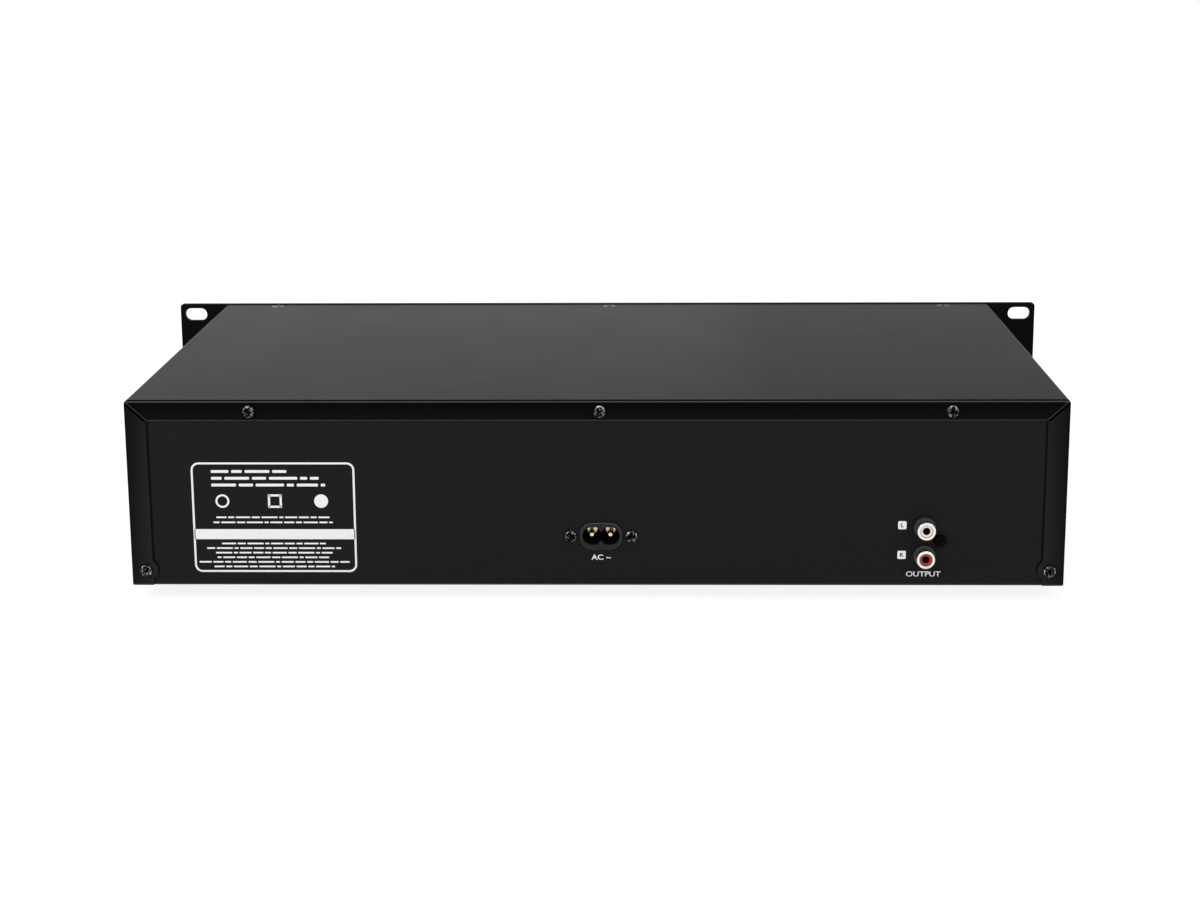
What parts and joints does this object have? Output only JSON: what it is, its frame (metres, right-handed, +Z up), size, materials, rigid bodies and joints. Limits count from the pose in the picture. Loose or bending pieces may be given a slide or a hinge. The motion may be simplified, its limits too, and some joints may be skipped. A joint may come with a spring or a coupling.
{
  "type": "twin-tray disc player",
  "caption": "Rack-mount twin-tray disc player: folded steel case, slotted panel ears, loading trays, jog wheels, pitch sliders, crossfader, mains inlet and line-out sockets.",
  "frame": {"origin": "centre of the rack hole pattern, on the rear face of the front panel", "axes": "+X to the right seen from the front, along the panel; +Y to the rear; +Z up"},
  "size_m": [0.4826, 0.2848, 0.0948],
  "materials": {
    "front_panel": "satin black paint",
    "bottom_chassis": "satin dark grey paint",
    "top_cover": "satin dark grey paint",
    "rear_screws": "black-plated steel",
    "countersunk_screws": "black-plated steel",
    "chassis_screws": "zinc-plated steel",
    "feet": "matte black rubber",
    "mains_inlet": "moulded black plastic",
    "inlet_pins": "plated brass",
    "phono_block": "moulded black plastic",
    "phono_shells": "nickel plate",
    "phono_insert_white": "glossy",
    "phono_insert_red": "glossy",
    "display_windows": "smoked clear acrylic",
    "display_modules": "dark display glass",
    "control_board": "green circuit board",
    "main_board": "green circuit board",
    "power_board": "green circuit board",
    "control_switches": "moulded plastic",
    "board_studs": "plated brass",
    "main_board_chips": "moulded plastic",
    "power_parts": "wound parts and cans",
    "deck_frames": "moulded black plastic",
    "clamp_bridges": "zinc-plated steel",
    "loading_motors": "plated steel can",
    "loading_belts": "black rubber",
    "power_key": "satin keys",
    "open_key_1": "satin keys",
    "back_key_1": "satin keys",
    "next_key_1": "satin keys",
    "cue_key_1": "satin keys",
    "play_key_1": "satin keys",
    "open_key_2": "satin keys",
    "back_key_2": "satin keys",
    "next_key_2": "satin keys",
    "cue_key_2": "satin keys",
    "play_key_2": "satin keys",
    "pitch_slider_1": "moulded black plastic",
    "pitch_slider_2": "moulded black plastic",
    "crossfader": "moulded black plastic",
    "jog_wheel_1": "moulded black plastic",
    "tray_1": "moulded black plastic",
    "tray_front_1": "satin black",
    "pulley_gear_1": "natural moulded plastic",
    "motor_pulley_1": "turned brass",
    "drive_unit_1": "zinc-plated steel",
    "spindle_motor_1": "plated steel can",
    "turntable_1": "moulded black plastic",
    "pickup_1": "moulded black plastic",
    "disc_clamp_1": "moulded black plastic",
    "jog_wheel_2": "moulded black plastic",
    "tray_2": "moulded black plastic",
    "tray_front_2": "satin black",
    "pulley_gear_2": "natural moulded plastic",
    "motor_pulley_2": "turned brass",
    "drive_unit_2": "zinc-plated steel",
    "spindle_motor_2": "plated steel can",
    "turntable_2": "moulded black plastic",
    "pickup_2": "moulded black plastic",
    "disc_clamp_2": "moulded black plastic"
  },
  "bodies": {
    "case": {"front_panel": "front_panel", "bottom_chassis": "bottom_chassis", "top_cover": "top_cover", "rear_screws": "rear_screws", "countersunk_screws": "countersunk_screws", "chassis_screws": "chassis_screws", "feet": "feet", "mains_inlet": "mains_inlet", "inlet_pins": "inlet_pins", "phono_block": "phono_block", "phono_shells": "phono_shells", "phono_insert_white": "phono_insert_white", "phono_insert_red": "phono_insert_red", "display_windows": "display_windows", "display_modules": "display_modules", "control_board": "control_board", "control_switches": "control_switches", "board_studs": "board_studs", "main_board": "main_board", "main_board_chips": "main_board_chips", "power_board": "power_board", "power_parts": "power_parts", "deck_frames": "deck_frames", "clamp_bridges": "clamp_bridges", "loading_motors": "loading_motors", "loading_belts": "loading_belts"},
    "power_key": {"power_key": "power_key"},
    "open_key_1": {"open_key_1": "open_key_1"},
    "back_key_1": {"back_key_1": "back_key_1"},
    "next_key_1": {"next_key_1": "next_key_1"},
    "cue_key_1": {"cue_key_1": "cue_key_1"},
    "play_key_1": {"play_key_1": "play_key_1"},
    "open_key_2": {"open_key_2": "open_key_2"},
    "back_key_2": {"back_key_2": "back_key_2"},
    "next_key_2": {"next_key_2": "next_key_2"},
    "cue_key_2": {"cue_key_2": "cue_key_2"},
    "play_key_2": {"play_key_2": "play_key_2"},
    "pitch_slider_1": {"pitch_slider_1": "pitch_slider_1"},
    "pitch_slider_2": {"pitch_slider_2": "pitch_slider_2"},
    "crossfader": {"crossfader": "crossfader"},
    "jog_wheel_1": {"jog_wheel_1": "jog_wheel_1"},
    "tray_1": {"tray_1": "tray_1", "tray_front_1": "tray_front_1"},
    "pulley_gear_1": {"pulley_gear_1": "pulley_gear_1"},
    "motor_pulley_1": {"motor_pulley_1": "motor_pulley_1"},
    "drive_unit_1": {"drive_unit_1": "drive_unit_1", "spindle_motor_1": "spindle_motor_1"},
    "turntable_1": {"turntable_1": "turntable_1"},
    "pickup_1": {"pickup_1": "pickup_1"},
    "disc_clamp_1": {"disc_clamp_1": "disc_clamp_1"},
    "jog_wheel_2": {"jog_wheel_2": "jog_wheel_2"},
    "tray_2": {"tray_2": "tray_2", "tray_front_2": "tray_front_2"},
    "pulley_gear_2": {"pulley_gear_2": "pulley_gear_2"},
    "motor_pulley_2": {"motor_pulley_2": "motor_pulley_2"},
    "drive_unit_2": {"drive_unit_2": "drive_unit_2", "spindle_motor_2": "spindle_motor_2"},
    "turntable_2": {"turntable_2": "turntable_2"},
    "pickup_2": {"pickup_2": "pickup_2"},
    "disc_clamp_2": {"disc_clamp_2": "disc_clamp_2"}
  },
  "joints": [
    {"name": "power_key_press", "type": "slide", "parent": "case", "child": "power_key", "axis": [0, 1, 0], "range_m": [0, 0.001], "stiffness_N_per_m": 800},
    {"name": "open_key_1_press", "type": "slide", "parent": "case", "child": "open_key_1", "axis": [0, 1, 0], "range_m": [0, 0.001], "stiffness_N_per_m": 800},
    {"name": "back_key_1_press", "type": "slide", "parent": "case", "child": "back_key_1", "axis": [0, 1, 0], "range_m": [0, 0.001], "stiffness_N_per_m": 800},
    {"name": "next_key_1_press", "type": "slide", "parent": "case", "child": "next_key_1", "axis": [0, 1, 0], "range_m": [0, 0.001], "stiffness_N_per_m": 800},
    {"name": "cue_key_1_press", "type": "slide", "parent": "case", "child": "cue_key_1", "axis": [0, 1, 0], "range_m": [0, 0.001], "stiffness_N_per_m": 800},
    {"name": "play_key_1_press", "type": "slide", "parent": "case", "child": "play_key_1", "axis": [0, 1, 0], "range_m": [0, 0.001], "stiffness_N_per_m": 800},
    {"name": "open_key_2_press", "type": "slide", "parent": "case", "child": "open_key_2", "axis": [0, 1, 0], "range_m": [0, 0.001], "stiffness_N_per_m": 800},
    {"name": "back_key_2_press", "type": "slide", "parent": "case", "child": "back_key_2", "axis": [0, 1, 0], "range_m": [0, 0.001], "stiffness_N_per_m": 800},
    {"name": "next_key_2_press", "type": "slide", "parent": "case", "child": "next_key_2", "axis": [0, 1, 0], "range_m": [0, 0.001], "stiffness_N_per_m": 800},
    {"name": "cue_key_2_press", "type": "slide", "parent": "case", "child": "cue_key_2", "axis": [0, 1, 0], "range_m": [0, 0.001], "stiffness_N_per_m": 800},
    {"name": "play_key_2_press", "type": "slide", "parent": "case", "child": "play_key_2", "axis": [0, 1, 0], "range_m": [0, 0.001], "stiffness_N_per_m": 800},
    {"name": "pitch_slider_1_travel", "type": "slide", "parent": "case", "child": "pitch_slider_1", "axis": [0, 0, 1], "range_m": [-0.015, 0.015]},
    {"name": "pitch_slider_2_travel", "type": "slide", "parent": "case", "child": "pitch_slider_2", "axis": [0, 0, 1], "range_m": [-0.015, 0.015]},
    {"name": "crossfader_travel", "type": "slide", "parent": "case", "child": "crossfader", "axis": [1, 0, 0], "range_m": [-0.015, 0.015]},
    {"name": "jog_spin_1", "type": "hinge", "parent": "case", "child": "jog_wheel_1", "pos_m": [-0.094, -0.008, -0.0145], "axis": [0, 1, 0], "continuous": true},
    {"name": "tray_slide_1", "type": "slide", "parent": "case", "child": "tray_1", "axis": [0, -1, 0], "range_m": [0, 0.14]},
    {"name": "pulley_gear_1_spin", "type": "hinge", "parent": "case", "child": "pulley_gear_1", "pos_m": [-0.08, 0.032, 0.0136], "axis": [0, 0, 1], "range_deg": [-893, 0]},
    {"name": "motor_pulley_1_spin", "type": "hinge", "parent": "case", "child": "motor_pulley_1", "pos_m": [-0.132, 0.032, 0.0136], "axis": [0, 0, 1], "range_deg": [-3061, 0]},
    {"name": "drive_lift_1", "type": "hinge", "parent": "case", "child": "drive_unit_1", "pos_m": [-0.122, 0.163, 0.012], "axis": [-1, 0, 0], "range_deg": [0, 6]},
    {"name": "turntable_spin_1", "type": "hinge", "parent": "drive_unit_1", "child": "turntable_1", "pos_m": [-0.122, 0.07564, 0.01086], "axis": [0, -0.1045, 0.9945], "continuous": true},
    {"name": "pickup_travel_1", "type": "slide", "parent": "drive_unit_1", "child": "pickup_1", "axis": [0, 0.9945, 0.1045], "range_m": [0, 0.034]},
    {"name": "disc_clamp_spin_1", "type": "hinge", "parent": "case", "child": "disc_clamp_1", "pos_m": [-0.122, 0.076, 0.029], "axis": [0, 0, 1], "continuous": true},
    {"name": "jog_spin_2", "type": "hinge", "parent": "case", "child": "jog_wheel_2", "pos_m": [0.15, -0.008, -0.0145], "axis": [0, 1, 0], "continuous": true},
    {"name": "tray_slide_2", "type": "slide", "parent": "case", "child": "tray_2", "axis": [0, -1, 0], "range_m": [0, 0.14]},
    {"name": "pulley_gear_2_spin", "type": "hinge", "parent": "case", "child": "pulley_gear_2", "pos_m": [0.164, 0.032, 0.0136], "axis": [0, 0, 1], "range_deg": [-893, 0]},
    {"name": "motor_pulley_2_spin", "type": "hinge", "parent": "case", "child": "motor_pulley_2", "pos_m": [0.112, 0.032, 0.0136], "axis": [0, 0, 1], "range_deg": [-3061, 0]},
    {"name": "drive_lift_2", "type": "hinge", "parent": "case", "child": "drive_unit_2", "pos_m": [0.122, 0.163, 0.012], "axis": [-1, 0, 0], "range_deg": [0, 6]},
    {"name": "turntable_spin_2", "type": "hinge", "parent": "drive_unit_2", "child": "turntable_2", "pos_m": [0.122, 0.07564, 0.01086], "axis": [0, -0.1045, 0.9945], "continuous": true},
    {"name": "pickup_travel_2", "type": "slide", "parent": "drive_unit_2", "child": "pickup_2", "axis": [0, 0.9945, 0.1045], "range_m": [0, 0.034]},
    {"name": "disc_clamp_spin_2", "type": "hinge", "parent": "case", "child": "disc_clamp_2", "pos_m": [0.122, 0.076, 0.029], "axis": [0, 0, 1], "continuous": true}
  ],
  "couplings": [
    {"joint": "pulley_gear_1_spin", "follows": "tray_slide_1", "rad_per_m": -111.11},
    {"joint": "motor_pulley_1_spin", "follows": "tray_slide_1", "rad_per_m": -381.38},
    {"joint": "pulley_gear_2_spin", "follows": "tray_slide_2", "rad_per_m": -111.11},
    {"joint": "motor_pulley_2_spin", "follows": "tray_slide_2", "rad_per_m": -381.38}
  ]
}
